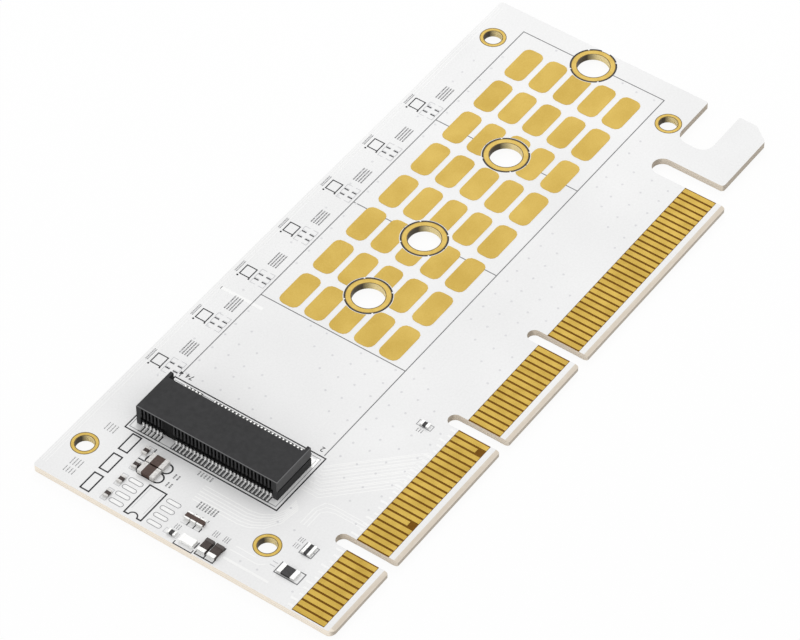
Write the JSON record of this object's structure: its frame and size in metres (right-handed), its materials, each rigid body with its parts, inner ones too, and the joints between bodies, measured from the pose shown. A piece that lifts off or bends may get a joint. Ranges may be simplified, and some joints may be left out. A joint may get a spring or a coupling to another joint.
{
  "type": "pcie edge adapter card",
  "caption": "Flat white circuit card with a long gold edge connector, hooked tail, four module length holes, bare pad field and a low module socket.",
  "frame": {"origin": "middle of the card's bounding box, on its rear face", "axes": "+X along the edge connector from its first contact to the hook, +Y from the edge connector into the card, +Z out of the component face"},
  "size_m": [0.0988, 0.0444, 0.0042],
  "materials": {
    "solder_masked_laminate": "satin white mask, tan cut edge",
    "gold_plate": "satin",
    "socket_plastic": "matt black moulding",
    "tinned_metal": "satin tin",
    "brown_ceramic": "matt fired ceramic",
    "black_chip": "matt",
    "clear_white_resin": "gloss"
  },
  "bodies": {
    "root": {"board": "solder_masked_laminate", "bulk_capacitor_bodies": "brown_ceramic", "bulk_capacitor_terminals": "tinned_metal", "coupling_pair_bodies": "black_chip", "coupling_pair_terminals": "tinned_metal", "edge_contacts_front": "gold_plate", "edge_contacts_rear": "gold_plate", "filter_bead_bodies": "black_chip", "filter_bead_terminals": "tinned_metal", "indicator_led_bodies": "clear_white_resin", "indicator_led_terminals": "tinned_metal", "input_capacitor_bodies": "brown_ceramic", "input_capacitor_terminals": "tinned_metal", "led_resistor_bodies": "black_chip", "led_resistor_terminals": "tinned_metal", "module_pads": "gold_plate", "mount_hole_high_left": "gold_plate", "mount_hole_high_right": "gold_plate", "mount_hole_low_left": "gold_plate", "mount_hole_low_right": "gold_plate", "network_body": "brown_ceramic", "network_terminals": "tinned_metal", "pull_resistor_bodies": "black_chip", "pull_resistor_terminals": "tinned_metal", "series_resistor_bodies": "brown_ceramic", "series_resistor_terminals": "tinned_metal", "socket_hold_downs": "tinned_metal", "socket_housing": "socket_plastic", "socket_tails_back": "tinned_metal", "socket_tails_front": "tinned_metal", "standoff_hole_2230": "gold_plate", "standoff_hole_2242": "gold_plate", "standoff_hole_2260": "gold_plate", "standoff_hole_2280": "gold_plate"}
  },
  "joints": []
}
